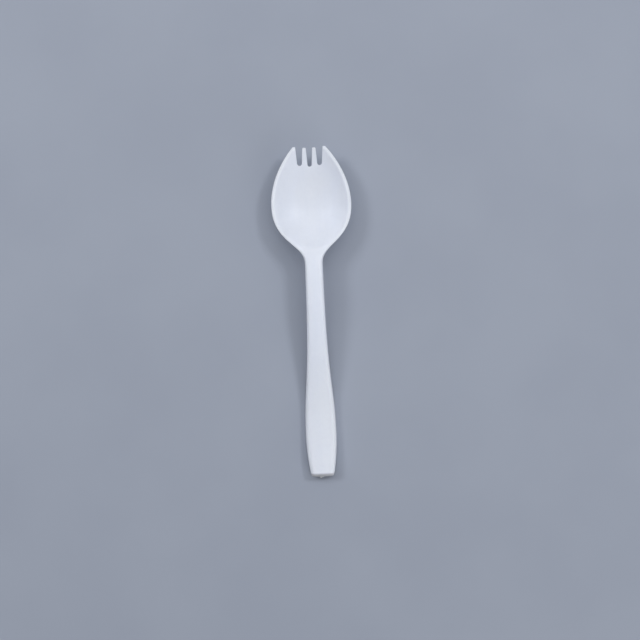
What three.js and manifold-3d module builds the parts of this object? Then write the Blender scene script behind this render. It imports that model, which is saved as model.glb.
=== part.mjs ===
// A white plastic spork, moulded in one piece: a dished bowl with four tines,
// a narrow neck, and a paddle handle that is an open channel underneath.
// Millimetres, +Z up, as it lies on a table: +Y is the tine end, the dish faces up,
// and the origin is on the table under the middle of the part.
import * as THREE from "three";
import { mergeVertices } from "three/addons/utils/BufferGeometryUtils.js";
import Module from "manifold-3d";

// Lengths along the part, each measured from the end of the one before
const BOWL_FRONT = 25.5; // tine tips to the widest place of the bowl
const BOWL_BACK = 19.1; // widest place to the back edge of the dish
const FLARE = 6.7; // back edge of the dish to the narrowest place of the neck
const GRIP = 76.7; // neck to the widest place of the paddle
const PADDLE = 18; // widest place of the paddle to the end of the handle

// Widths seen from above
const BOWL_WIDTH = 35.2;
const TIP_SPAN = 14.3; // across the outer corners of the two outer tines
const NECK_WIDTH = 7.9;
const PADDLE_WIDTH = 13.85;
const END_WIDTH = 10;

// How far each outline curve runs on straight before it turns
const TIP_RUN = 2.2;
const TIP_SPREAD = 1.9; // how far the tip widens over that run
const CHEEK_RUN = 13.2;
const BACK_RUN = 16.3;
const FLARE_RUN = 8.5;
const NECK_RUN = 56;
const PALM_RUN = 24.5;
const HEEL_RUN = 1.5;
const HEEL_TAPER_RUN = 8.4;
const HEEL_TAPER = 1.8; // how far the paddle narrows on each side over that run

// Heights above the table, and the run of each height curve
const DISH_DEPTH = 7.5;
const WALL = 1.15; // shell of the bowl, roof of the handle and end wall
const TIP_RISE = 0.25; // tine tips above the lowest place of the rim
const NECK_RISE = 3.65; // top of the neck above the lowest place of the rim
const NECK_TOP_AFTER = 6.7; // narrowest place of the neck to its highest place
const HANDLE_DEPTH = 3.9; // depth of the channel's sides
const REST_CUT = 0.12; // how much the sides are flattened where they rest
const REST_BEFORE = 8; // that place to the widest place of the paddle
const END_RISE = 1.5; // end of the handle above its resting place
const RIM_RUN = 9;
const RISE_RUN = 12;
const CREST_RUN = 27;
const LANDING_RUN = 17;
const LIFT_RUN = 9;
const LIFT_SHARE = 0.6; // of the end's rise, where the last curve turns

// Dish
const DEEPEST_AFTER = 0.5; // widest place of the bowl to its deepest place
const TIP_DEPTH = 0.9; // the dish at the line of the tine tips
const TINE_RUN = 7; // over this length the tines dip from the tips
const TINE_DIP = 3.1;
const FLOOR_FRONT_RUN = 11;
const FLOOR_BACK_RUN = 8;
const BACK_WALL = 4; // length and drop of the steep back wall of the dish
const BACK_WALL_DROP = 4;
const RIM_LAND = 1.35; // flat top of the rim
const RIM_EDGE = 0.6; // upright outer edge of the rim
const RIM_EASE = 0.3; // rounding between the land and the dish
const RIM_ROUND = 0.2; // rounding of the rim's outer corner
const BACK_CLOSING_DEPTH = 1.8; // the dish narrows once it is shallower than this
const ROUNDNESS = 0.25; // 0 gives a parabola across the dish, more gives steeper sides

// Handle section
const SIDE_WALL = 1.1;
const DRAFT = 0.2; // each side leans out by this much from shoulder to foot
const SHOULDER_DEPTH = 1.5;
const SHOULDER_SHARE = 0.6; // of the side's height that the shoulder takes at most
const NECK_SHOULDER = 1.3; // width of the rounding at the neck
const PADDLE_SHOULDER = 2.3; // and on the paddle
const CROWN = 0.4;
const INNER_FILLET = 0.8;
const END_RUN = 2.2; // length and drop of the rounding over the end
const END_DROP = 2.4;
const END_CORNER = 0.8; // rounding of its corners, seen from above
const NECK_CHANNEL_RUN = 9; // the channel opens out over this length

// Tines
const SLOT_PITCH = 4.46;
const SIDE_SLOT_MOUTH = 3.15;
const SIDE_SLOT_ROOT = 2.15;
const SIDE_SLOT_DEPTH = 7.75;
const MIDDLE_SLOT_MOUTH = 2.85;
const MIDDLE_SLOT_ROOT = 1.9;
const MIDDLE_SLOT_DEPTH = 8.15;
const INNER_TINE_SETBACK = 0.3;
const TINE_CORNER = 0.5; // rounded corners of the inner tines
const OUTER_TIP_ROUND = 0.3;

// Torn stub of the moulding gate, low on the end wall
const GATE_WIDTH = 2.6;
const GATE_LENGTH = 1;
const GATE_THICKNESS = 1.1;
const GATE_LEAN = 1.15; // its point lies this far to the left of the middle

// Fineness of the surface
const ACROSS = 9;
const ARC_STEPS = 3;
const SLOT_STEPS = 8;
const END_STEPS = 9;
const TINE_STEP = 1.1; // distances between sections of the loft
const BOWL_STEP = 1.9;
const FLARE_STEP = 0.85;
const HANDLE_STEP = 4.3;
const REST_STEP = 1.8;
const SLOPE_STEP = 0.1;
const BISECTIONS = 40;
const OVERCUT = 3; // how far the cutting tool stands out on every side

// Stations along the part, counted from the tine tips
const WIDEST = BOWL_FRONT;
const DEEPEST = WIDEST + DEEPEST_AFTER;
const DISH_BACK = WIDEST + BOWL_BACK;
const NECK = DISH_BACK + FLARE;
const NECK_TOP = NECK + NECK_TOP_AFTER;
const PADDLE_AT = NECK + GRIP;
const REST = PADDLE_AT - REST_BEFORE;
const LENGTH = PADDLE_AT + PADDLE;
const OVERALL = LENGTH + GATE_LENGTH;

// Heights of the upper edge line
const RIM_LOW = DISH_DEPTH + WALL;
const HANDLE_LOW = HANDLE_DEPTH - REST_CUT;

// One cubic curve from four [station, value] points
function curve(a, b, c, d) {
  const points = [a, b, c, d].map(([x, y]) => new THREE.Vector2(x, y));
  return new THREE.CubicBezierCurve(...points);
}

// The value at a station on a chain of curves, whose stations only grow
function valueAt(chain, station) {
  const part = chain.find((c) => station <= c.v3.x) ?? chain[chain.length - 1];
  let low = 0;
  let high = 1;
  for (let i = 0; i < BISECTIONS; i++) {
    const middle = (low + high) / 2;
    if (part.getPoint(middle).x < station) low = middle;
    else high = middle;
  }
  return part.getPoint((low + high) / 2).y;
}

// Half the width of the part
const outline = [
  curve(
    [0, TIP_SPAN / 2],
    [TIP_RUN, TIP_SPAN / 2 + TIP_SPREAD],
    [WIDEST - CHEEK_RUN, BOWL_WIDTH / 2],
    [WIDEST, BOWL_WIDTH / 2],
  ),
  curve(
    [WIDEST, BOWL_WIDTH / 2],
    [WIDEST + BACK_RUN, BOWL_WIDTH / 2],
    [NECK - FLARE_RUN, NECK_WIDTH / 2],
    [NECK, NECK_WIDTH / 2],
  ),
  curve(
    [NECK, NECK_WIDTH / 2],
    [NECK + NECK_RUN, NECK_WIDTH / 2],
    [PADDLE_AT - PALM_RUN, PADDLE_WIDTH / 2],
    [PADDLE_AT, PADDLE_WIDTH / 2],
  ),
  curve(
    [PADDLE_AT, PADDLE_WIDTH / 2],
    [PADDLE_AT + HEEL_RUN, PADDLE_WIDTH / 2],
    [LENGTH - HEEL_TAPER_RUN, END_WIDTH / 2 + HEEL_TAPER],
    [LENGTH, END_WIDTH / 2],
  ),
];

// Height of the rim and of the handle's shoulders
const edgeLine = [
  curve(
    [0, RIM_LOW + TIP_RISE],
    [RIM_RUN, RIM_LOW],
    [DEEPEST - RIM_RUN, RIM_LOW],
    [DEEPEST, RIM_LOW],
  ),
  curve(
    [DEEPEST, RIM_LOW],
    [DEEPEST + RISE_RUN, RIM_LOW],
    [NECK_TOP - RISE_RUN, RIM_LOW + NECK_RISE],
    [NECK_TOP, RIM_LOW + NECK_RISE],
  ),
  curve(
    [NECK_TOP, RIM_LOW + NECK_RISE],
    [NECK_TOP + CREST_RUN, RIM_LOW + NECK_RISE],
    [REST - LANDING_RUN, HANDLE_LOW],
    [REST, HANDLE_LOW],
  ),
  curve(
    [REST, HANDLE_LOW],
    [REST + LIFT_RUN, HANDLE_LOW],
    [LENGTH - LIFT_RUN, HANDLE_LOW + END_RISE * LIFT_SHARE],
    [LENGTH, HANDLE_LOW + END_RISE],
  ),
];

// Depth of the dish below the rim on the middle line
const dishFloor = [
  curve(
    [0, TIP_DEPTH],
    [TINE_RUN, TIP_DEPTH + TINE_DIP],
    [DEEPEST - FLOOR_FRONT_RUN, DISH_DEPTH],
    [DEEPEST, DISH_DEPTH],
  ),
  curve(
    [DEEPEST, DISH_DEPTH],
    [DEEPEST + FLOOR_BACK_RUN, DISH_DEPTH],
    [DISH_BACK - BACK_WALL, BACK_WALL_DROP],
    [DISH_BACK, 0],
  ),
];
const BACK_SLOPE = BACK_WALL_DROP / BACK_WALL;

function smoothstep(from, to, x) {
  const t = Math.min(Math.max((x - from) / (to - from), 0), 1);
  return t * t * (3 - 2 * t);
}

// The larger of x and 0, with the corner rounded over a band of the given half-width
function rampUp(x, ease) {
  if (x <= -ease) return 0;
  if (x >= ease) return x;
  return (x + ease) ** 2 / (4 * ease);
}

// How much a quarter circle takes off within its radius of an edge
function roundOff(radius, distance) {
  if (distance >= radius) return 0;
  return radius - Math.sqrt(radius ** 2 - (radius - Math.max(distance, 0)) ** 2);
}

function halfWidth(station) {
  const tip = roundOff(OUTER_TIP_ROUND, station);
  const corner = roundOff(END_CORNER, LENGTH - station);
  return valueAt(outline, station) - tip - corner;
}

// Depth on the middle line. Behind the dish it goes on as a negative depth.
function floorDepth(station) {
  if (station > DISH_BACK) return -BACK_SLOPE * (station - DISH_BACK);
  return valueAt(dishFloor, station);
}

// 0 on the middle line and 1 at the side
function bowlRise(share) {
  return share ** 2 * (1 - ROUNDNESS + ROUNDNESS * share ** 2);
}

// 0 in the bowl and 1 in the handle
function handleShare(station) {
  return smoothstep(DISH_BACK - FLARE / 2, DISH_BACK + NECK_CHANNEL_RUN, station);
}

// Height of the outer side, from the rim's thin edge to the full channel
function sideDepth(station) {
  const grow = smoothstep(WIDEST + BOWL_BACK / 2, DISH_BACK + NECK_CHANNEL_RUN, station);
  return THREE.MathUtils.lerp(RIM_EDGE, HANDLE_DEPTH, grow);
}

function footHeight(station) {
  return Math.max(valueAt(edgeLine, station) - sideDepth(station), 0);
}

// Width of the rounding between the upper surface and the side
function shoulderWidth(station) {
  const neck = THREE.MathUtils.lerp(RIM_ROUND, NECK_SHOULDER, handleShare(station));
  return neck + (PADDLE_SHOULDER - NECK_SHOULDER) * smoothstep(NECK, REST, station);
}

// Upper surface: crown of the handle, land of the rim and the dish
function topHeight(x, station) {
  const half = halfWidth(station);
  const share = handleShare(station);
  const deep = floorDepth(station);
  const closing = BACK_CLOSING_DEPTH + rampUp(deep - BACK_CLOSING_DEPTH, RIM_EASE);
  const depth = deep - closing * bowlRise(x / (half - RIM_LAND));
  const ease = THREE.MathUtils.lerp(RIM_EASE, WALL, smoothstep(WIDEST, DISH_BACK, station));
  const crown = CROWN * share * (1 - (x / half) ** 2);
  const end = (END_DROP / END_RUN) * roundOff(END_RUN, LENGTH - station);
  return valueAt(edgeLine, station) + crown - rampUp(depth, ease) - end;
}

// Depth of the underside on the middle line, a wall below the upper surface
function undersideDepth(station) {
  const ahead = floorDepth(station + SLOPE_STEP);
  const behind = floorDepth(station - SLOPE_STEP);
  const slope = (ahead - behind) / (2 * SLOPE_STEP);
  const wall = WALL * Math.sqrt(1 + slope ** 2);
  const ease = WALL / 2;
  const depth = WALL + rampUp(floorDepth(station) + wall - WALL, ease);
  const solid = smoothstep(LENGTH - WALL - INNER_FILLET, LENGTH - WALL, station);
  return THREE.MathUtils.lerp(depth, sideDepth(station), solid);
}

// Upper half section from the middle line to the foot of the side, as [x, z]
function upperSection(station) {
  const half = halfWidth(station);
  const share = handleShare(station);
  const foot = footHeight(station);
  const width = shoulderWidth(station);
  const side = half - DRAFT * share;
  const landStart = half - width - (RIM_LAND - RIM_ROUND);
  const points = [];
  for (let i = 0; i <= ACROSS; i++) {
    const x = (landStart * i) / ACROSS;
    points.push([x, topHeight(x, station)]);
  }
  const arcStart = side - width;
  const arcTop = topHeight(arcStart, station);
  const full = THREE.MathUtils.lerp(RIM_ROUND, SHOULDER_DEPTH, share);
  const drop = Math.min(full, (arcTop - foot) * SHOULDER_SHARE);
  for (let i = 0; i <= ARC_STEPS; i++) {
    const angle = (Math.PI / 2) * (i / ARC_STEPS);
    const x = arcStart + width * Math.sin(angle);
    points.push([x, arcTop - drop * (1 - Math.cos(angle))]);
  }
  points.push([half, foot]);
  return points;
}

// Lower half section from the foot of the side back to the middle line
function lowerSection(station) {
  const half = halfWidth(station);
  const share = handleShare(station);
  const foot = footHeight(station);
  const roof = valueAt(edgeLine, station) - undersideDepth(station);
  const inner = half - THREE.MathUtils.lerp(RIM_ROUND, SIDE_WALL, share);
  const steps = ACROSS + ARC_STEPS + 1;
  const points = [];
  for (let i = 0; i <= steps; i++) {
    const bowl = [1 - i / steps, 1 - bowlRise(1 - i / steps)];
    const channel = channelPoint(i, inner, roof - foot);
    const x = inner * THREE.MathUtils.lerp(bowl[0], channel[0], share);
    const rise = THREE.MathUtils.lerp(bowl[1], channel[1], share);
    points.push([x, THREE.MathUtils.lerp(foot, roof, rise)]);
  }
  return points;
}

// Point i of the inside of the channel, as shares of its half width and its height
function channelPoint(i, width, height) {
  const radiusX = INNER_FILLET / width;
  const radiusZ = Math.min(INNER_FILLET / Math.max(Math.abs(height), INNER_FILLET), 1);
  if (i === 0) return [1, 0];
  if (i <= ARC_STEPS) {
    const angle = (Math.PI / 2) * ((i - 1) / ARC_STEPS);
    return [1 - radiusX * (1 - Math.cos(angle)), 1 - radiusZ * (1 - Math.sin(angle))];
  }
  return [(1 - radiusX) * (1 - (i - 1 - ARC_STEPS) / ACROSS), 1];
}

// Closed section at a station: from the top over the right side to the bottom and back
function ring(station) {
  const upper = upperSection(station);
  const lower = lowerSection(station);
  const right = [...upper, ...lower];
  const left = right.slice(1, -1).reverse();
  return [...right, ...left.map(([x, z]) => [-x, z])];
}

// Stations of the loft: close together where the form turns quickly
function spread(from, to, step) {
  const count = Math.ceil((to - from) / step);
  return Array.from({ length: count }, (_, i) => from + ((to - from) * i) / count);
}
function towardsEnd(i) {
  return LENGTH - END_RUN * (1 - Math.sin(((Math.PI / 2) * i) / END_STEPS));
}
const stations = [
  ...spread(0, OUTER_TIP_ROUND, OUTER_TIP_ROUND / ARC_STEPS),
  ...spread(OUTER_TIP_ROUND, MIDDLE_SLOT_DEPTH, TINE_STEP),
  ...spread(MIDDLE_SLOT_DEPTH, DISH_BACK - BACK_WALL, BOWL_STEP),
  ...spread(DISH_BACK - BACK_WALL, NECK, FLARE_STEP),
  ...spread(NECK, REST - REST_BEFORE, HANDLE_STEP),
  ...spread(REST - REST_BEFORE, PADDLE_AT, REST_STEP),
  ...spread(PADDLE_AT, LENGTH - END_RUN, REST_STEP),
  ...Array.from({ length: END_STEPS + 1 }, (_, i) => towardsEnd(i)),
];

// The blank is a loft over all sections, closed by a flat face at each end
function blankGeometry() {
  const rings = stations.map(ring);
  const count = rings[0].length;
  const positions = [];
  rings.forEach((points, k) => {
    points.forEach(([x, z]) => positions.push(x, OVERALL / 2 - stations[k], z));
  });
  const faces = [];
  for (let k = 0; k + 1 < rings.length; k++) {
    for (let i = 0; i < count; i++) {
      const a = k * count + i;
      const b = k * count + ((i + 1) % count);
      faces.push(a, a + count, b, b, a + count, b + count);
    }
  }
  const first = capFaces(count, 0);
  const last = capFaces(count, (rings.length - 1) * count);
  faces.push(...first.reverse(), ...last);
  return indexed(positions, faces);
}

// A flat face over one ring, facing the handle's end, as a strip between its upper
// line and its lower line from the right foot to the left one
function capFaces(count, offset) {
  const pairs = count / 2;
  const foot = (pairs - 1) / 2;
  const upper = (i) => offset + ((foot - i + count) % count);
  const lower = (i) => offset + foot + 1 + i;
  const faces = [];
  for (let i = 0; i + 1 < pairs; i++) {
    faces.push(upper(i), upper(i + 1), lower(i));
    faces.push(upper(i + 1), lower(i + 1), lower(i));
  }
  return faces;
}

function indexed(positions, faces) {
  const geometry = new THREE.BufferGeometry();
  geometry.setAttribute("position", new THREE.Float32BufferAttribute(positions, 3));
  geometry.setIndex(faces);
  return geometry;
}

// Plan shape of what is cut away in front of and between the tines.
// Its own y is minus the station, so that the tines point along +Y.
function combShape() {
  const shape = new THREE.Shape();
  const reach = TIP_SPAN / 2 + OVERCUT;
  shape.moveTo(-reach, OVERCUT);
  shape.lineTo(-reach, 0);
  for (const side of [-1, 0, 1]) addSlot(shape, side * SLOT_PITCH, side);
  shape.lineTo(reach, 0);
  shape.lineTo(reach, OVERCUT);
  shape.closePath();
  return shape;
}

function addSlot(shape, middle, side) {
  const depth = side === 0 ? MIDDLE_SLOT_DEPTH : SIDE_SLOT_DEPTH;
  const mouth = (side === 0 ? MIDDLE_SLOT_MOUTH : SIDE_SLOT_MOUTH) / 2;
  const root = (side === 0 ? MIDDLE_SLOT_ROOT : SIDE_SLOT_ROOT) / 2;
  const leftTop = side === -1 ? 0 : -INNER_TINE_SETBACK;
  const rightTop = side === 1 ? 0 : -INNER_TINE_SETBACK;
  const leftCorner = side === -1 ? OUTER_TIP_ROUND : TINE_CORNER;
  const rightCorner = side === 1 ? OUTER_TIP_ROUND : TINE_CORNER;
  const left = middle - mouth;
  const right = middle + mouth;
  shape.lineTo(left - leftCorner, leftTop);
  shape.quadraticCurveTo(left, leftTop, left, leftTop - leftCorner);
  shape.lineTo(middle - root, -depth + root);
  shape.absarc(middle, -depth + root, root, Math.PI, 2 * Math.PI, false);
  shape.lineTo(right, rightTop - rightCorner);
  shape.quadraticCurveTo(right, rightTop, right + rightCorner, rightTop);
}

function combGeometry() {
  const height = RIM_LOW + TIP_RISE + OVERCUT;
  const options = { depth: height + OVERCUT, bevelEnabled: false, curveSegments: SLOT_STEPS };
  const geometry = new THREE.ExtrudeGeometry(combShape(), options);
  return geometry.translate(0, OVERALL / 2, -OVERCUT);
}

// The stub: a small wedge whose point is off to one side
function gateGeometry() {
  const sunk = WALL / 2;
  const shape = new THREE.Shape();
  shape.moveTo(-GATE_WIDTH / 2, sunk);
  shape.lineTo(-GATE_WIDTH / 2, 0);
  shape.lineTo(-GATE_LEAN, -GATE_LENGTH);
  shape.lineTo(GATE_WIDTH / 2, 0);
  shape.lineTo(GATE_WIDTH / 2, sunk);
  shape.closePath();
  const options = { depth: GATE_THICKNESS, bevelEnabled: false };
  const geometry = new THREE.ExtrudeGeometry(shape, options);
  return geometry.translate(0, OVERALL / 2 - LENGTH, footHeight(LENGTH));
}

const wasm = await Module();
wasm.setup();

function solid(geometry) {
  const bare = geometry.clone();
  bare.deleteAttribute("normal");
  bare.deleteAttribute("uv");
  const merged = mergeVertices(bare, 1e-4);
  const vertProperties = new Float32Array(merged.attributes.position.array);
  const triVerts = new Uint32Array(merged.index.array);
  return new wasm.Manifold(new wasm.Mesh({ numProp: 3, vertProperties, triVerts }));
}

function geometryOf(manifold) {
  const mesh = manifold.getMesh();
  const geometry = indexed([...mesh.vertProperties], [...mesh.triVerts]);
  geometry.computeVertexNormals();
  return geometry;
}

const body = solid(blankGeometry()).subtract(solid(combGeometry())).add(solid(gateGeometry()));

const whitePlastic = new THREE.MeshStandardMaterial({
  name: "white_plastic",
  color: 0xe6e9f2,
  roughness: 0.42,
  metalness: 0,
});

const spork = new THREE.Mesh(geometryOf(body), whitePlastic);
spork.name = "spork";

const group = new THREE.Group();
group.name = "plastic_spork";
group.add(spork);

export default group;
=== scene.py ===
import math

import bmesh
import bpy
import numpy as np
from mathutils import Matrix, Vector


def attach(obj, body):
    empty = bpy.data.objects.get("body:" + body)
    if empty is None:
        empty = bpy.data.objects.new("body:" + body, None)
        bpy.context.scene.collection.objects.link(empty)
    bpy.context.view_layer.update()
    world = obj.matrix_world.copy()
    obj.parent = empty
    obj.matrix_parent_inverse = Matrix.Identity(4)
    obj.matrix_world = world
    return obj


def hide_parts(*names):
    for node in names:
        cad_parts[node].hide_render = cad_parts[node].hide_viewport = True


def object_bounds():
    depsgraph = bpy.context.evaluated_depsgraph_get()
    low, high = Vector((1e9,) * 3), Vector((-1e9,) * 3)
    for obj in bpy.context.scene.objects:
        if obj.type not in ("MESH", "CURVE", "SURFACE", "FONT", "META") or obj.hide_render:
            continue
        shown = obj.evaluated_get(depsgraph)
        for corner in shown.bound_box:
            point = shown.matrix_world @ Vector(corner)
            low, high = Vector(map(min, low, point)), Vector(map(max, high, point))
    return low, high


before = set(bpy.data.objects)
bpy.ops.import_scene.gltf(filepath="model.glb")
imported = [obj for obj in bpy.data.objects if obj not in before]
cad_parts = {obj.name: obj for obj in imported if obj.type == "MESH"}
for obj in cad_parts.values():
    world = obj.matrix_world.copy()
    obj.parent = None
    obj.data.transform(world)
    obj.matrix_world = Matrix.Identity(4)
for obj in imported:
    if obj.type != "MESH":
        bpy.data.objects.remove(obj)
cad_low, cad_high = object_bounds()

MM = 0.001

# Camera: straight down, turned a little, so that the spork leans as in the photograph
CAMERA_HEIGHT = 425
CAMERA_RIGHT = 1.67
CAMERA_FORWARD = -2.91
CAMERA_TURN = 2.46
FOCAL_PIXELS = 947
IMAGE_PIXELS = 640
SENSOR = 36
CLIP_NEAR = 10
CLIP_FAR = 10000

# Lengths along the part in millimetres, each from the end of the one before
BOWL_FRONT = 25.5
BOWL_BACK = 19.1
FLARE = 6.7
GRIP = 76.7
PADDLE = 18

# Widths seen from above
BOWL_WIDTH = 35.2
TIP_SPAN = 14.3
NECK_WIDTH = 7.9
PADDLE_WIDTH = 13.85
END_WIDTH = 10

# Outline curves: how far each runs on before it turns, and how far it spreads or tapers
TIP_RUN = 2.2
TIP_SPREAD = 1.9
CHEEK_RUN = 13.2
BACK_RUN = 16.3
FLARE_RUN = 8.5
NECK_RUN = 56
PALM_RUN = 24.5
HEEL_RUN = 1.5
HEEL_TAPER_RUN = 8.4
HEEL_TAPER = 1.8

# Depths, wall and rises that set the heights, and the run of each height curve
DISH_DEPTH = 7.5
WALL = 1.15
TIP_RISE = 0.25
NECK_RISE = 3.65
NECK_TOP_AFTER = 6.7
HANDLE_DEPTH = 3.9
REST_CUT = 0.12
REST_BEFORE = 8
END_RISE = 1.5
RIM_RUN = 9
RISE_RUN = 12
CREST_RUN = 27
LANDING_RUN = 17
LIFT_RUN = 9
LIFT_SHARE = 0.6

# Dish
DEEPEST_AFTER = 0.5
TIP_DEPTH = 0.9
TINE_RUN = 7
TINE_DIP = 3.1
FLOOR_FRONT_RUN = 11
FLOOR_BACK_RUN = 8
BACK_WALL = 4
BACK_WALL_DROP = 4
RIM_LAND = 1.35
RIM_EDGE = 0.6
RIM_EASE = 0.3
RIM_ROUND = 0.2
BACK_CLOSING_DEPTH = 1.8
ROUNDNESS = 0.25

# Handle section
SIDE_WALL = 1.1
DRAFT = 0.2
SHOULDER_DEPTH = 1.5
SHOULDER_SHARE = 0.6
NECK_SHOULDER = 1.3
PADDLE_SHOULDER = 2.3
CROWN = 0.4
INNER_FILLET = 0.8
END_RUN = 2.2
END_DROP = 2.4
END_CORNER = 0.8
NECK_CHANNEL_RUN = 9
FOOT_ROUND = 0.15

# Tines
SLOT_PITCH = 4.46
SIDE_SLOT_MOUTH = 3.15
SIDE_SLOT_ROOT = 2.15
SIDE_SLOT_DEPTH = 7.75
MIDDLE_SLOT_MOUTH = 2.85
MIDDLE_SLOT_ROOT = 1.9
MIDDLE_SLOT_DEPTH = 8.15
INNER_TINE_SETBACK = 0.3
TINE_CORNER = 0.5
OUTER_TIP_ROUND = 0.3
TINE_EDGE_ROUND = 0.2

# The table top is this far below the part, so that no two faces lie in one plane
TABLE_GAP = 0.02

# Colours, as red, green, blue and alpha
PLASTIC_LIGHT = (0.845, 0.87, 0.965, 1)
PLASTIC_SHADE = (0.815, 0.845, 0.95, 1)
PLASTIC_MOTTLE = (0.79, 0.815, 0.915, 1)
# Painted shade on the handle's end face, which turns away from the light
PAINTED_END_SHADE = (0.50, 0.50, 0.505, 1)
# Torn plastic of the gate stub, greyed partly with painted shade
PLASTIC_TORN_AND_SHADE = (0.68, 0.67, 0.64, 1)
TABLE_LIGHT = (0.345, 0.373, 0.427, 1)
TABLE_SHADE = (0.328, 0.355, 0.41, 1)
LAMP_COLOUR = (0.915, 0.94, 1)

# Surface of the plastic: grains of its noises in millimetres along x, y and z, and their turns
CLOUD_GRAIN = (16, 22, 16)
FLOW_GRAIN = (2.2, 34, 8)
FLOW_TURN = 2
MOTTLE_GRAIN = (1.4, 1.8, 1.4)
SCUFF_GRAIN = (0.25, 7, 2)
SCUFF_TURN = 24
CROSS_SCUFF_GRAIN = (9, 0.22, 2)
CROSS_SCUFF_TURN = 13
WAVE_GRAIN = (5, 7, 5)
PORE_GRAIN = (0.16, 0.16, 0.16)
TORN_GRAIN = (0.3, 0.3, 0.3)

# Part of each noise's range that is stretched from 0 to 1
CLOUD_RANGE = (0.35, 0.65)
EVEN_RANGE = (0.3, 0.7)
SCUFF_RANGE = (0.64, 0.8)
MOTTLE_RANGE = (0.4, 0.9)

# Shares of the clouds and flow lines in the tint, and the most of the mottle's colour
CLOUD_SHARE = 0.6
FLOW_SHARE = 0.4
MOTTLE_SHARE = 0.5

# Roughness, and what scuffs add to it
PLASTIC_ROUGHNESS = (0.36, 0.46)
SCUFF_ROUGHNESS = 0.12
STUB_ROUGHNESS = 0.75

# Bump heights in millimetres
WAVE_HEIGHT = 0.03
MOTTLE_HEIGHT = 0.006
PORE_HEIGHT = 0.0012
SCUFF_DEPTH = 0.0015
TORN_HEIGHT = 0.1

# Light inside the plastic, with its reach in millimetres
PLASTIC_IOR = 1.49
SCATTER_WEIGHT = 1
SCATTER_REACH = 2
SCATTER_BY_COLOUR = (1, 1, 1)

# Surface of the table, in the same units, and its half width in metres
TABLE_GRAIN = (60, 60, 60)
FLECK_GRAIN = (0.5, 0.5, 0.5)
TABLE_ROUGHNESS = (0.6, 0.7)
FLECK_HEIGHT = 0.004
TABLE_REACH = 1.5

# Distance of the lamps from the origin in metres, and the strength of the even light
LAMP_DISTANCE = 1.5
WORLD_STRENGTH = 0.22

# Torn stub of the moulding gate, low on the end wall
GATE_WIDTH = 2.6
GATE_LENGTH = 1
GATE_THICKNESS = 1.1
GATE_LEAN = 1.15
GATE_EDGE = 0.25
GATE_ROUGH = 0.12
STUB_BLEND = 0.3

# Painted shade: a grey band at the handle's end, where the end face turns away from the light
END_SHADE_BAND = 2.1
END_SHADE_BLEND = 1.2

# Stations along the part, counted from the tine tips
WIDEST = BOWL_FRONT
DEEPEST = WIDEST + DEEPEST_AFTER
DISH_BACK = WIDEST + BOWL_BACK
NECK = DISH_BACK + FLARE
NECK_TOP = NECK + NECK_TOP_AFTER
PADDLE_AT = NECK + GRIP
REST = PADDLE_AT - REST_BEFORE
LENGTH = PADDLE_AT + PADDLE
OVERALL = LENGTH + GATE_LENGTH
RIM_LOW = DISH_DEPTH + WALL
HANDLE_LOW = HANDLE_DEPTH - REST_CUT


# Shape of the part, with the station and x in millimetres as arrays

CURVE_POINTS = 2001
SLOPE_STEP = 0.1

# A side is at least this many times as tall as the rounding of its foot
SIDE_PER_FOOT_ROUND = 3

def chain(*curves):
    """A function of the station from cubic curves, each of four (station, value) points."""
    t = np.linspace(0, 1, CURVE_POINTS)[:, None]
    parts = []
    for curve in curves:
        a, b, c, d = (np.array(point, float) for point in curve)
        near = (1 - t) ** 3 * a + 3 * (1 - t) ** 2 * t * b
        parts.append(near + 3 * (1 - t) * t**2 * c + t**3 * d)
    points = np.vstack(parts)
    return lambda station: np.interp(station, points[:, 0], points[:, 1])


outline = chain(
    [
        (0, TIP_SPAN / 2),
        (TIP_RUN, TIP_SPAN / 2 + TIP_SPREAD),
        (WIDEST - CHEEK_RUN, BOWL_WIDTH / 2),
        (WIDEST, BOWL_WIDTH / 2),
    ],
    [
        (WIDEST, BOWL_WIDTH / 2),
        (WIDEST + BACK_RUN, BOWL_WIDTH / 2),
        (NECK - FLARE_RUN, NECK_WIDTH / 2),
        (NECK, NECK_WIDTH / 2),
    ],
    [
        (NECK, NECK_WIDTH / 2),
        (NECK + NECK_RUN, NECK_WIDTH / 2),
        (PADDLE_AT - PALM_RUN, PADDLE_WIDTH / 2),
        (PADDLE_AT, PADDLE_WIDTH / 2),
    ],
    [
        (PADDLE_AT, PADDLE_WIDTH / 2),
        (PADDLE_AT + HEEL_RUN, PADDLE_WIDTH / 2),
        (LENGTH - HEEL_TAPER_RUN, END_WIDTH / 2 + HEEL_TAPER),
        (LENGTH, END_WIDTH / 2),
    ],
)
edge_line = chain(
    [
        (0, RIM_LOW + TIP_RISE),
        (RIM_RUN, RIM_LOW),
        (DEEPEST - RIM_RUN, RIM_LOW),
        (DEEPEST, RIM_LOW),
    ],
    [
        (DEEPEST, RIM_LOW),
        (DEEPEST + RISE_RUN, RIM_LOW),
        (NECK_TOP - RISE_RUN, RIM_LOW + NECK_RISE),
        (NECK_TOP, RIM_LOW + NECK_RISE),
    ],
    [
        (NECK_TOP, RIM_LOW + NECK_RISE),
        (NECK_TOP + CREST_RUN, RIM_LOW + NECK_RISE),
        (REST - LANDING_RUN, HANDLE_LOW),
        (REST, HANDLE_LOW),
    ],
    [
        (REST, HANDLE_LOW),
        (REST + LIFT_RUN, HANDLE_LOW),
        (LENGTH - LIFT_RUN, HANDLE_LOW + END_RISE * LIFT_SHARE),
        (LENGTH, HANDLE_LOW + END_RISE),
    ],
)
dish_floor = chain(
    [
        (0, TIP_DEPTH),
        (TINE_RUN, TIP_DEPTH + TINE_DIP),
        (DEEPEST - FLOOR_FRONT_RUN, DISH_DEPTH),
        (DEEPEST, DISH_DEPTH),
    ],
    [
        (DEEPEST, DISH_DEPTH),
        (DEEPEST + FLOOR_BACK_RUN, DISH_DEPTH),
        (DISH_BACK - BACK_WALL, BACK_WALL_DROP),
        (DISH_BACK, 0),
    ],
)


def mix(a, b, share):
    return a + (b - a) * share


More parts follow.
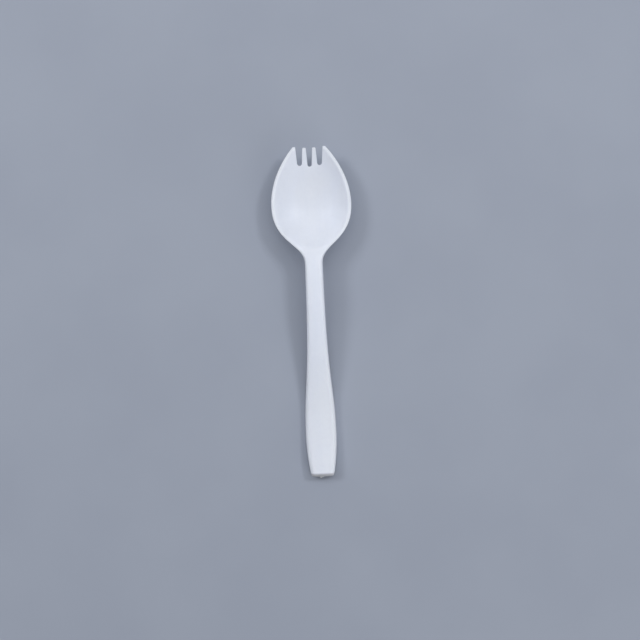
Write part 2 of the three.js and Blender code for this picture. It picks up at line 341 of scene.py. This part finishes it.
def smoothstep(low, high, x):
    t = np.clip((x - low) / (high - low), 0, 1)
    return t * t * (3 - 2 * t)


def ramp_up(x, ease):
    """The larger of x and 0, with the corner rounded over a band of the given half-width."""
    rounded = np.where(x <= -ease, 0, (x + ease) ** 2 / (4 * ease))
    return np.where(x >= ease, x, rounded)


def round_off(radius, distance):
    """How much a quarter circle takes off within its radius of an edge."""
    inside = np.clip(radius - np.maximum(distance, 0), 0, radius)
    return radius - np.sqrt(radius**2 - inside**2)


def half_width(station):
    tip = round_off(OUTER_TIP_ROUND, station)
    corner = round_off(END_CORNER, LENGTH - station)
    return outline(station) - tip - corner


def floor_depth(station):
    behind = -(BACK_WALL_DROP / BACK_WALL) * (station - DISH_BACK)
    return np.where(station > DISH_BACK, behind, dish_floor(station))


def bowl_rise(share):
    """0 on the middle line and 1 at the side."""
    return share**2 * (1 - ROUNDNESS + ROUNDNESS * share**2)


def handle_share(station):
    """0 in the bowl and 1 in the handle."""
    return smoothstep(DISH_BACK - FLARE / 2, DISH_BACK + NECK_CHANNEL_RUN, station)


def side_depth(station):
    grow = smoothstep(WIDEST + BOWL_BACK / 2, DISH_BACK + NECK_CHANNEL_RUN, station)
    return mix(RIM_EDGE, HANDLE_DEPTH, grow)


def foot_height(station):
    return np.maximum(edge_line(station) - side_depth(station), 0)


def shoulder_width(station):
    neck = mix(RIM_ROUND, NECK_SHOULDER, handle_share(station))
    return neck + (PADDLE_SHOULDER - NECK_SHOULDER) * smoothstep(NECK, REST, station)


def slot_distance(x, station, middle, mouth, root, depth):
    """Distance from one slot, seen from above."""
    bottom = depth - root / 2
    beside = np.abs(x - middle) - mix(mouth, root, station / bottom) / 2
    below = np.hypot(x - middle, station - bottom) - root / 2
    return np.where(station < bottom, beside, below)


def tine_edge_distance(x, station):
    """Distance from the nearest slot or tine tip, for x of 0 or more."""
    side = (SLOT_PITCH, SIDE_SLOT_MOUTH, SIDE_SLOT_ROOT, SIDE_SLOT_DEPTH)
    middle = (0, MIDDLE_SLOT_MOUTH, MIDDLE_SLOT_ROOT, MIDDLE_SLOT_DEPTH)
    nearest = np.minimum(slot_distance(x, station, *side), slot_distance(x, station, *middle))
    tip = station - np.where(x < SLOT_PITCH, INNER_TINE_SETBACK, 0)
    return np.minimum(nearest, tip)


def top_height(x, station):
    half = half_width(station)
    share = handle_share(station)
    deep = floor_depth(station)
    closing = BACK_CLOSING_DEPTH + ramp_up(deep - BACK_CLOSING_DEPTH, RIM_EASE)
    depth = deep - closing * bowl_rise(x / (half - RIM_LAND))
    ease = mix(RIM_EASE, WALL, smoothstep(WIDEST, DISH_BACK, station))
    crown = CROWN * share * (1 - (x / half) ** 2)
    end = (END_DROP / END_RUN) * round_off(END_RUN, LENGTH - station)
    edge = round_off(TINE_EDGE_ROUND, tine_edge_distance(x, station))
    return edge_line(station) + crown - ramp_up(depth, ease) - end - edge


def roof_height(station):
    """Height of the underside on the middle line, a wall below the upper surface."""
    rise = floor_depth(station + SLOPE_STEP) - floor_depth(station - SLOPE_STEP)
    slope = rise / (2 * SLOPE_STEP)
    wall = WALL * np.sqrt(1 + slope**2)
    depth = WALL + ramp_up(floor_depth(station) + wall - WALL, WALL / 2)
    solid = smoothstep(LENGTH - WALL - INNER_FILLET, LENGTH - WALL, station)
    return edge_line(station) - mix(depth, side_depth(station), solid)


# Grid of the shell: columns run across half of the part, from the middle line outwards

MIDDLE_SLOT_COLUMNS = 4
TINE_COLUMNS = 14
SIDE_SLOT_COLUMNS = 8
OUTER_COLUMNS = 22
LAND_COLUMNS = 4
SHOULDER_COLUMNS = 10
SIDE_COLUMNS = 3
ROUND_COLUMNS = 3
FOOT_COLUMNS = 2
CHANNEL_WALL_COLUMNS = 6
CHANNEL_FILLET_COLUMNS = 8
SLOT_1 = MIDDLE_SLOT_COLUMNS
SLOT_2 = SLOT_1 + TINE_COLUMNS
SLOT_3 = SLOT_2 + SIDE_SLOT_COLUMNS
LAND = SLOT_3 + OUTER_COLUMNS
HALF_COLUMNS = LAND + LAND_COLUMNS + SHOULDER_COLUMNS + SIDE_COLUMNS + ROUND_COLUMNS
LOWER_OUTER_COLUMNS = HALF_COLUMNS - SLOT_3 - ROUND_COLUMNS - FOOT_COLUMNS

# Where the columns at the slots sit once they have spread evenly, as shares of the width
SLOT_1_SHARE = 0.07
SLOT_2_SHARE = 0.3
SLOT_3_SHARE = 0.45

# Where the land starts on a tine that is narrower than the land
NARROW_LAND = 0.3

# Rows along the part
CORNER_ROWS = 7
TINE_ROWS = 20
EDGE_ROWS = 4
ROOT_ROWS = 12
ROWS_STRAIGHT_AT = 12
COLUMNS_EVEN_AT = 22
BOWL_ROW = 0.45
FLARE_ROW = 0.3
HANDLE_ROW = 1.0
PADDLE_ROW = 0.8
END_ROWS = 22
END_LEVELS = 24
FLARE_ROWS_FROM = 8
FLARE_ROWS_PAST = 3

# Points closer than this are one
WELD = 0.0005


def clustered(count):
    """Shares from 0 to 1 that lie closer together at both ends."""
    return (1 - np.cos(np.pi * np.linspace(0, 1, count + 1))) / 2


def slot_edges(station):
    """x of the three slot edges on one side of the middle line, in front of the roots."""
    side_bottom = SIDE_SLOT_DEPTH - SIDE_SLOT_ROOT / 2
    middle_bottom = MIDDLE_SLOT_DEPTH - MIDDLE_SLOT_ROOT / 2
    side = mix(SIDE_SLOT_MOUTH, SIDE_SLOT_ROOT, np.clip(station / side_bottom, 0, 1)) / 2
    middle = mix(MIDDLE_SLOT_MOUTH, MIDDLE_SLOT_ROOT, np.clip(station / middle_bottom, 0, 1)) / 2
    inner = round_off(TINE_CORNER, station - INNER_TINE_SETBACK)
    outer = round_off(OUTER_TIP_ROUND, station)
    return middle + inner, SLOT_PITCH - side - inner, SLOT_PITCH + side + outer


def column_places(station, limit, outer_count):
    """x of the columns out to the limit. station and limit have a row per loft row."""
    even = np.concatenate([
        np.linspace(0, SLOT_1_SHARE, MIDDLE_SLOT_COLUMNS + 1)[:-1],
        np.linspace(SLOT_1_SHARE, SLOT_2_SHARE, TINE_COLUMNS + 1)[:-1],
        np.linspace(SLOT_2_SHARE, SLOT_3_SHARE, SIDE_SLOT_COLUMNS + 1)[:-1],
        np.linspace(SLOT_3_SHARE, 1, outer_count + 1),
    ])
    edge_1, edge_2, edge_3 = slot_edges(station)
    across_slot = np.sin(np.pi / 2 * np.linspace(0, 1, MIDDLE_SLOT_COLUMNS + 1))[:-1]
    x = np.empty_like(station)
    one = slice(0, SLOT_1)
    two = slice(SLOT_1, SLOT_2)
    three = slice(SLOT_2, SLOT_3)
    four = slice(SLOT_3, None)
    x[:, one] = edge_1[:, one] * across_slot
    x[:, two] = mix(edge_1[:, two], edge_2[:, two], clustered(TINE_COLUMNS)[:-1])
    x[:, three] = mix(edge_2[:, three], edge_3[:, three], clustered(SIDE_SLOT_COLUMNS)[:-1])
    x[:, four] = mix(edge_3[:, four], limit[:, four], clustered(outer_count))
    return mix(x, limit * even, smoothstep(SIDE_SLOT_DEPTH, COLUMNS_EVEN_AT, station))


def root_line(outer_count):
    """Station of each column where the slots end, round their roots and across the tines."""
    side_bottom = SIDE_SLOT_DEPTH - SIDE_SLOT_ROOT / 2
    middle_bottom = MIDDLE_SLOT_DEPTH - MIDDLE_SLOT_ROOT / 2
    line = np.full(SLOT_3 + outer_count + 1, side_bottom)
    t = np.sin(np.pi / 2 * np.linspace(0, 1, MIDDLE_SLOT_COLUMNS + 1))
    line[: SLOT_1 + 1] = middle_bottom + MIDDLE_SLOT_ROOT / 2 * np.sqrt(1 - t**2)
    line[SLOT_1 : SLOT_2 + 1] = mix(middle_bottom, side_bottom, clustered(TINE_COLUMNS))
    t = clustered(SIDE_SLOT_COLUMNS) * 2 - 1
    line[SLOT_2 : SLOT_3 + 1] = side_bottom + SIDE_SLOT_ROOT / 2 * np.sqrt(1 - t**2)
    return line


def spread(start, end, step):
    """Even places from start up to end, which is left out, about a step apart."""
    return np.linspace(start, end, math.ceil((end - start) / step) + 1)[:-1]


def row_stations(outer_count):
    """Stations of all rows and columns, and the number of rows in front of the roots."""
    root = root_line(outer_count)
    columns = np.arange(root.size)
    tip = np.where((columns >= SLOT_1) & (columns <= SLOT_2), INNER_TINE_SETBACK, 0.0)
    corner = TINE_CORNER * (1 - np.cos(np.linspace(0, np.pi / 2, CORNER_ROWS)))
    tines = [tip + d for d in corner]
    tines += [mix(tines[-1], root, t) for t in np.linspace(0, 1, TINE_ROWS + 1)[1:-1]]
    edge = TINE_EDGE_ROUND * (1 - np.cos(np.linspace(0, np.pi / 2, EDGE_ROWS)))
    roots = [root + d for d in edge]
    straight = np.full(root.size, float(ROWS_STRAIGHT_AT))
    roots += [mix(roots[-1], straight, t) for t in np.linspace(0, 1, ROOT_ROWS)[1:]]
    flare_from = DISH_BACK - FLARE_ROWS_FROM
    flare_to = NECK + FLARE_ROWS_PAST
    rest = np.concatenate([
        spread(ROWS_STRAIGHT_AT, flare_from, BOWL_ROW)[1:],
        spread(flare_from, flare_to, FLARE_ROW),
        spread(flare_to, REST, HANDLE_ROW),
        spread(REST, LENGTH - END_RUN, PADDLE_ROW),
        LENGTH - END_RUN * (1 - np.sin(np.linspace(0, np.pi / 2, END_ROWS))),
    ])
    rows = tines + roots + [np.full(root.size, station) for station in rest]
    return np.array(rows), len(tines)


def widened(station, x):
    """The stations of a grid that has gained columns past its last one."""
    line = station[:, -1:]
    return np.hstack([station, np.repeat(line, x.shape[1] - station.shape[1], axis=1)])


def upper_half():
    """x, station and height from the middle line over the side to the foot, and its rounding."""
    station, root_row = row_stations(OUTER_COLUMNS)
    line = station[:, -1]
    half = half_width(line)
    share = handle_share(line)
    foot = foot_height(line)
    width = shoulder_width(line)
    side = half - DRAFT * share
    start = side - width
    land = mix(half - RIM_LAND, start - RIM_ROUND, share)
    narrow = mix(slot_edges(line)[2], start, NARROW_LAND)
    land = np.where(line < SIDE_SLOT_DEPTH, np.maximum(land, narrow), land)
    x = column_places(station, np.repeat(land[:, None], station.shape[1], axis=1), OUTER_COLUMNS)
    xs = [x]
    zs = [top_height(x, station)]
    for t in np.linspace(0, 1, LAND_COLUMNS + 1)[1:-1]:
        place = mix(land, start, t)
        xs.append(place[:, None])
        zs.append(top_height(place, line)[:, None])
    crest = top_height(start, line)
    drop = np.minimum(mix(RIM_ROUND, SHOULDER_DEPTH, share), (crest - foot) * SHOULDER_SHARE)
    for angle in np.linspace(0, np.pi / 2, SHOULDER_COLUMNS + 1):
        xs.append((start + width * np.sin(angle))[:, None])
        zs.append((crest - drop * (1 - np.cos(angle)))[:, None])
    under = crest - drop
    rounded = np.minimum(FOOT_ROUND, (under - foot) / SIDE_PER_FOOT_ROUND)
    for t in np.linspace(0, 1, SIDE_COLUMNS + 1)[1:]:
        xs.append(mix(side, half, t)[:, None])
        zs.append(mix(under, foot + rounded, t)[:, None])
    for angle in np.linspace(0, np.pi / 2, ROUND_COLUMNS + 1)[1:]:
        xs.append((half - rounded * (1 - np.cos(angle)))[:, None])
        zs.append((foot + rounded * (1 - np.sin(angle)))[:, None])
    x = np.hstack(xs)
    return x, widened(station, x), np.hstack(zs), root_row, rounded


def channel_section(count, width, height):
    """Inside of the channel from the middle line to the foot, as shares of width and height."""
    radius_x = INNER_FILLET / width
    radius_z = np.minimum(INNER_FILLET / np.maximum(np.abs(height), INNER_FILLET), 1)
    xs = []
    zs = []
    for t in np.linspace(0, 1, count + 1 - CHANNEL_WALL_COLUMNS - CHANNEL_FILLET_COLUMNS):
        xs.append((1 - radius_x) * t)
        zs.append(np.ones_like(width))
    for t in np.linspace(0, 1, CHANNEL_FILLET_COLUMNS + 1)[1:]:
        angle = np.pi / 2 * (1 - t)
        xs.append(1 - radius_x * (1 - np.cos(angle)))
        zs.append(1 - radius_z * (1 - np.sin(angle)))
    for t in np.linspace(0, 1, CHANNEL_WALL_COLUMNS + 1)[1:]:
        xs.append(np.ones_like(width))
        zs.append((1 - radius_z) * (1 - t))
    return np.array(xs).T, np.array(zs).T


def lower_half(rounded):
    """x, station and height of the underside from the middle line to the rounded foot."""
    station, _ = row_stations(LOWER_OUTER_COLUMNS)
    line = station[:, -1]
    half = half_width(line)
    share = handle_share(line)
    inner = half - mix(RIM_ROUND, SIDE_WALL, share)
    x = column_places(station, np.repeat(inner[:, None], station.shape[1], axis=1), LOWER_OUTER_COLUMNS)
    local = half_width(station) - mix(RIM_ROUND, SIDE_WALL, handle_share(station))
    rise = 1 - bowl_rise(x / local)
    tall = roof_height(line) - foot_height(line)
    channel_x, channel_rise = channel_section(station.shape[1] - 1, inner, tall)
    x = mix(x, channel_x * inner[:, None], share[:, None])
    rise = mix(rise, channel_rise, share[:, None])
    edge = round_off(TINE_EDGE_ROUND, tine_edge_distance(x, station))
    z = mix(foot_height(station), roof_height(station), rise) + edge
    xs = [x]
    zs = [z]
    foot = foot_height(line)
    for t in np.linspace(0, 1, ROUND_COLUMNS + FOOT_COLUMNS + 1)[1:]:
        xs.append(mix(inner, half - rounded, t)[:, None])
        zs.append(foot[:, None])
    x = np.hstack(xs)
    return x, widened(station, x), np.hstack(zs)


# The mesh

def whole(x, station, z):
    """Full-width grid of vertices from a half grid whose first column is the middle line."""
    right = np.stack([x, OVERALL / 2 - station, z], axis=2)
    left = right[:, :0:-1] * (-1, 1, 1)
    return np.concatenate([left, right], axis=1)


# Waves of the torn plastic that don't line up: radians per millimetre along x and z, and a start
TORN_WAVES = [(7.1, 3.3, 0.2), (-4.7, 9.2, 1.9), (13.3, 6.1, 4.0), (5.9, -14.9, 2.6)]


def torn(x, z):
    """Roughness of the torn plastic, from -1 to 1."""
    return sum(np.sin(a * x + b * z + c) for a, b, c in TORN_WAVES) / len(TORN_WAVES)


def gate_reach(x, z):
    """How far the torn stub stands out of the end wall."""
    base = float(foot_height(LENGTH))
    left = (x + GATE_WIDTH / 2) / (GATE_WIDTH / 2 - GATE_LEAN)
    right = (GATE_WIDTH / 2 - x) / (GATE_WIDTH / 2 + GATE_LEAN)
    wedge = np.clip(np.minimum(left, right), 0, 1)
    over = smoothstep(GATE_THICKNESS + GATE_EDGE, GATE_THICKNESS - GATE_EDGE, z - base)
    under = mix(1 - GATE_EDGE, 1, smoothstep(0, GATE_EDGE, z - base))
    reach = GATE_LENGTH * wedge * over * under
    return reach * (1 - GATE_ROUGH) + reach * GATE_ROUGH * torn(x, z)


class Shell:
    """Vertices and faces of the one closed mesh."""

    def __init__(self):
        x, station, z, self.root_row, rounded = upper_half()
        upper = whole(x, station, z)
        lower = whole(*lower_half(rounded))
        self.rows, self.columns = upper.shape[:2]
        self.middle = self.columns // 2
        self.below = self.rows * self.columns
        self.vertices = [upper.reshape(-1, 3), lower.reshape(-1, 3)]
        self.count = 2 * self.below
        self.faces = []

    def at(self, row, column):
        """Index of a vertex of the upper grid, with column 0 on the middle line."""
        return row * self.columns + self.middle + column

    def add_sheets(self, open_cells):
        for row in range(self.rows - 1):
            for column in range(-self.middle, self.middle):
                if row < self.root_row and column in open_cells:
                    continue
                a = self.at(row, column)
                b = a + 1
                c = b + self.columns
                d = a + self.columns
                self.faces.append((d, c, b, a))
                self.faces.append(tuple(self.below + i for i in (a, b, c, d)))

    def add_wall(self, path):
        """Straight wall between the upper and the lower grid."""
        for a, b in zip(path, path[1:]):
            self.faces.append((a, b, self.below + b, self.below + a))

    def add_end(self):
        """End wall of the handle, with the torn stub."""
        top = [self.at(self.rows - 1, j) for j in range(self.middle, -self.middle - 1, -1)]
        high = np.vstack(self.vertices)[top]
        low = np.vstack(self.vertices)[[self.below + i for i in top]]
        levels = [top]
        for t in np.linspace(0, 1, END_LEVELS + 1)[1:-1]:
            points = mix(high, low, t)
            points[:, 1] -= gate_reach(points[:, 0], points[:, 2])
            levels.append(list(range(self.count, self.count + len(top))))
            self.vertices.append(points)
            self.count += len(top)
        levels.append([self.below + i for i in top])
        for upper, lower in zip(levels, levels[1:]):
            for i in range(len(top) - 1):
                self.faces.append((upper[i], upper[i + 1], lower[i + 1], lower[i]))

    def mesh(self, name):
        """The mesh, fitted to the box of the CAD part that it stands for."""
        points = np.vstack(self.vertices)
        low = points.min(0)
        size = points.max(0) - low
        target = np.array(cad_high) - np.array(cad_low)
        points = np.array(cad_low) + (points - low) / size * target
        made = bpy.data.meshes.new(name)
        made.from_pydata(points.tolist(), [], self.faces)
        cleaned = bmesh.new()
        cleaned.from_mesh(made)
        loose = [vertex for vertex in cleaned.verts if not vertex.link_faces]
        bmesh.ops.delete(cleaned, geom=loose, context="VERTS")
        bmesh.ops.remove_doubles(cleaned, verts=cleaned.verts, dist=WELD * MM)
        for face in cleaned.faces:
            face.smooth = True
        cleaned.to_mesh(made)
        cleaned.free()
        return made


def spork_mesh():
    shell = Shell()
    slots = [(-SLOT_3, -SLOT_2), (-SLOT_1, SLOT_1), (SLOT_2, SLOT_3)]
    tines = [(-shell.middle, -SLOT_3), (-SLOT_2, -SLOT_1), (SLOT_1, SLOT_2), (SLOT_3, shell.middle)]
    shell.add_sheets({j for low, high in slots for j in range(low, high)})
    for low, high in slots:
        down = [shell.at(row, low) for row in range(shell.root_row)]
        round_root = [shell.at(shell.root_row, j) for j in range(low, high + 1)]
        back = [shell.at(row, high) for row in range(shell.root_row - 1, -1, -1)]
        shell.add_wall(down + round_root + back)
    for low, high in tines:
        shell.add_wall([shell.at(0, j) for j in range(low, high + 1)])
    shell.add_end()
    return shell.mesh("spork_plastic")


def add_object(name, mesh, material):
    thing = bpy.data.objects.new(name, mesh)
    bpy.context.scene.collection.objects.link(thing)
    mesh.materials.append(material)
    return thing


# Camera

def add_camera():
    data = bpy.data.cameras.new("camera")
    data.sensor_width = SENSOR
    data.lens = SENSOR * FOCAL_PIXELS / IMAGE_PIXELS
    data.clip_start = CLIP_NEAR * MM
    data.clip_end = CLIP_FAR * MM
    camera = bpy.data.objects.new("camera", data)
    camera.location = (CAMERA_RIGHT * MM, CAMERA_FORWARD * MM, CAMERA_HEIGHT * MM)
    camera.rotation_euler = (0, 0, math.radians(-CAMERA_TURN))
    bpy.context.scene.collection.objects.link(camera)
    bpy.context.scene.camera = camera


# Materials: nodes work in the object's own space, in metres

# Sockets of the Mix node that take and give colours
MIX_SHARE = 0
MIX_FROM = 6
MIX_TO = 7
MIX_RESULT = 2

def principled(name):
    material = bpy.data.materials.new(name)
    material.use_nodes = True
    return material, material.node_tree.nodes["Principled BSDF"]


class Nodes:
    """Adds texture and math nodes to one material."""

    def __init__(self, material):
        self.tree = material.node_tree
        self.place = self.add("ShaderNodeTexCoord").outputs["Object"]

    def add(self, kind, **settings):
        node = self.tree.nodes.new(kind)
        for name, value in settings.items():
            setattr(node, name, value)
        return node

    def link(self, value, socket):
        if isinstance(value, bpy.types.NodeSocket):
            self.tree.links.new(value, socket)
        else:
            socket.default_value = value

    def noise(self, grain, detail=3, turn=0):
        """Noise from 0 to 1 with grains of the given size in millimetres along x, y and z."""
        mapping = self.add("ShaderNodeMapping")
        mapping.inputs["Rotation"].default_value = (0, 0, math.radians(turn))
        mapping.inputs["Scale"].default_value = [1 / (size * MM) for size in grain]
        self.link(self.place, mapping.inputs["Vector"])
        texture = self.add("ShaderNodeTexNoise")
        texture.inputs["Scale"].default_value = 1
        texture.inputs["Detail"].default_value = detail
        self.link(mapping.outputs["Vector"], texture.inputs["Vector"])
        return texture.outputs["Fac"]

    def ramp(self, value, low, high, start=0, end=1):
        """The value between low and high, stretched to run smoothly from start to end."""
        node = self.add("ShaderNodeMapRange", interpolation_type="SMOOTHSTEP")
        for name, number in (("Value", value), ("From Min", low), ("From Max", high)):
            self.link(number, node.inputs[name])
        for name, number in (("To Min", start), ("To Max", end)):
            self.link(number, node.inputs[name])
        return node.outputs["Result"]

    def combine(self, operation, a, b):
        node = self.add("ShaderNodeMath", operation=operation)
        self.link(a, node.inputs[0])
        self.link(b, node.inputs[1])
        return node.outputs[0]

    def blend(self, share, a, b):
        """Mix of two colours or two colour sockets."""
        node = self.add("ShaderNodeMix", data_type="RGBA")
        self.link(share, node.inputs[MIX_SHARE])
        self.link(a, node.inputs[MIX_FROM])
        self.link(b, node.inputs[MIX_TO])
        return node.outputs[MIX_RESULT]

    def height(self, *layers):
        """Sum of noises, each with its height in millimetres."""
        total = 0.0
        for value, size in layers:
            total = self.combine("ADD", self.combine("MULTIPLY", value, size), total)
        return total

    def bump(self, height, shader):
        """Bump from a height in millimetres."""
        node = self.add("ShaderNodeBump")
        node.inputs["Distance"].default_value = MM
        self.link(height, node.inputs["Height"])
        self.link(node.outputs["Normal"], shader.inputs["Normal"])


def white_plastic():
    """Bluish white polypropylene with a soft sheen, faint flow lines, scuffs, painted shade on the
    handle's end and a torn stub partly greyed with painted shade.
    """
    material, shader = principled("white_plastic")
    nodes = Nodes(material)
    cloud = nodes.ramp(nodes.noise(CLOUD_GRAIN), *CLOUD_RANGE)
    flow = nodes.ramp(nodes.noise(FLOW_GRAIN, turn=FLOW_TURN), *EVEN_RANGE)
    mottle = nodes.noise(MOTTLE_GRAIN, detail=2)
    scuff = nodes.noise(SCUFF_GRAIN, detail=2, turn=SCUFF_TURN)
    cross_scuff = nodes.noise(CROSS_SCUFF_GRAIN, detail=2, turn=CROSS_SCUFF_TURN)
    scuffs = nodes.ramp(nodes.combine("MAXIMUM", scuff, cross_scuff), *SCUFF_RANGE)
    station = nodes.add("ShaderNodeSeparateXYZ")
    nodes.link(nodes.place, station.inputs[0])
    torn_line = (OVERALL / 2 - LENGTH) * MM
    end_shade_line = torn_line + END_SHADE_BAND * MM
    stub = nodes.ramp(station.outputs["Y"], torn_line, torn_line - STUB_BLEND * MM)
    # band: painted shade on the end face of the handle
    band = nodes.ramp(station.outputs["Y"], end_shade_line, end_shade_line - END_SHADE_BLEND * MM)

    clouds = nodes.combine("MULTIPLY", cloud, CLOUD_SHARE)
    tint = nodes.combine("ADD", clouds, nodes.combine("MULTIPLY", flow, FLOW_SHARE))
    colour = nodes.blend(tint, PLASTIC_SHADE, PLASTIC_LIGHT)
    colour = nodes.blend(nodes.ramp(mottle, *MOTTLE_RANGE, 0, MOTTLE_SHARE), colour, PLASTIC_MOTTLE)
    # Painted shade over the handle's end
    colour = nodes.blend(band, colour, PAINTED_END_SHADE)
    # The torn stub's colour is partly painted shade
    nodes.link(nodes.blend(stub, colour, PLASTIC_TORN_AND_SHADE), shader.inputs["Base Color"])
    sheen = nodes.ramp(mottle, *EVEN_RANGE, *PLASTIC_ROUGHNESS)
    rough = nodes.combine("ADD", sheen, nodes.combine("MULTIPLY", scuffs, SCUFF_ROUGHNESS))
    rough = nodes.combine("MAXIMUM", rough, nodes.combine("MULTIPLY", stub, STUB_ROUGHNESS))
    nodes.link(rough, shader.inputs["Roughness"])
    nodes.bump(
        nodes.height(
            (nodes.noise(WAVE_GRAIN, detail=1), WAVE_HEIGHT),
            (mottle, MOTTLE_HEIGHT),
            (nodes.noise(PORE_GRAIN, detail=2), PORE_HEIGHT),
            (scuffs, -SCUFF_DEPTH),
            (nodes.combine("MULTIPLY", nodes.noise(TORN_GRAIN), stub), TORN_HEIGHT),
        ),
        shader,
    )
    shader.inputs["IOR"].default_value = PLASTIC_IOR
    shader.inputs["Subsurface Weight"].default_value = SCATTER_WEIGHT
    shader.inputs["Subsurface Scale"].default_value = SCATTER_REACH * MM
    shader.inputs["Subsurface Radius"].default_value = SCATTER_BY_COLOUR
    return material


def table_top():
    """Smooth grey-blue laminate."""
    material, shader = principled("table_top")
    nodes = Nodes(material)
    cloud = nodes.ramp(nodes.noise(TABLE_GRAIN), *EVEN_RANGE)
    fleck = nodes.noise(FLECK_GRAIN, detail=2)
    nodes.link(nodes.blend(cloud, TABLE_SHADE, TABLE_LIGHT), shader.inputs["Base Color"])
    nodes.link(nodes.ramp(fleck, *EVEN_RANGE, *TABLE_ROUGHNESS), shader.inputs["Roughness"])
    nodes.bump(nodes.height((fleck, FLECK_HEIGHT)), shader)
    return material


# Table and lights

def add_table():
    mesh = bpy.data.meshes.new("table")
    drop = -TABLE_GAP * MM
    sides = ((-1, -1), (1, -1), (1, 1), (-1, 1))
    corners = [(x * TABLE_REACH, y * TABLE_REACH, drop) for x, y in sides]
    mesh.from_pydata(corners, [], [(0, 1, 2, 3)])
    add_object("table", mesh, table_top())


def add_lamp(name, heading, rise, size, power):
    """A square lamp aimed at the origin, with its angles in degrees and its heading from +X."""
    data = bpy.data.lights.new(name, "AREA")
    data.size = size
    data.energy = power
    data.color = LAMP_COLOUR
    lamp = bpy.data.objects.new(name, data)
    turn = math.radians(heading)
    lift = math.radians(rise)
    away = Vector((math.cos(turn) * math.cos(lift), math.sin(turn) * math.cos(lift), math.sin(lift)))
    lamp.location = away * LAMP_DISTANCE
    lamp.rotation_euler = away.to_track_quat("Z", "Y").to_euler()
    bpy.context.scene.collection.objects.link(lamp)


def add_world(colour, strength, backdrop):
    """Even light of the given strength, with a backdrop for the camera and for reflections."""
    world = bpy.data.worlds.new("world")
    world.use_nodes = True
    tree = world.node_tree
    light = tree.nodes["Background"]
    light.inputs["Color"].default_value = (*colour, 1)
    light.inputs["Strength"].default_value = strength
    behind = tree.nodes.new("ShaderNodeBackground")
    behind.inputs["Color"].default_value = backdrop
    path = tree.nodes.new("ShaderNodeLightPath")
    seen = tree.nodes.new("ShaderNodeMath")
    seen.operation = "MAXIMUM"
    tree.links.new(path.outputs["Is Camera Ray"], seen.inputs[0])
    tree.links.new(path.outputs["Is Glossy Ray"], seen.inputs[1])
    choose = tree.nodes.new("ShaderNodeMixShader")
    tree.links.new(seen.outputs[0], choose.inputs[0])
    tree.links.new(light.outputs[0], choose.inputs[1])
    tree.links.new(behind.outputs[0], choose.inputs[2])
    tree.links.new(choose.outputs[0], tree.nodes["World Output"].inputs["Surface"])
    bpy.context.scene.world = world


add_camera()
bpy.context.scene.view_settings.view_transform = "Standard"
spork = add_object("spork_shell", spork_mesh(), white_plastic())
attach(spork, "root")
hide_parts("spork")
add_table()
add_lamp("window", heading=90, rise=66, size=1.8, power=10.2)
add_lamp("key", heading=32, rise=46, size=0.3, power=5.2)
add_lamp("side", heading=150, rise=42, size=0.4, power=6)
add_lamp("front", heading=308, rise=20, size=1.0, power=6.5)
add_world(LAMP_COLOUR, WORLD_STRENGTH, TABLE_LIGHT)
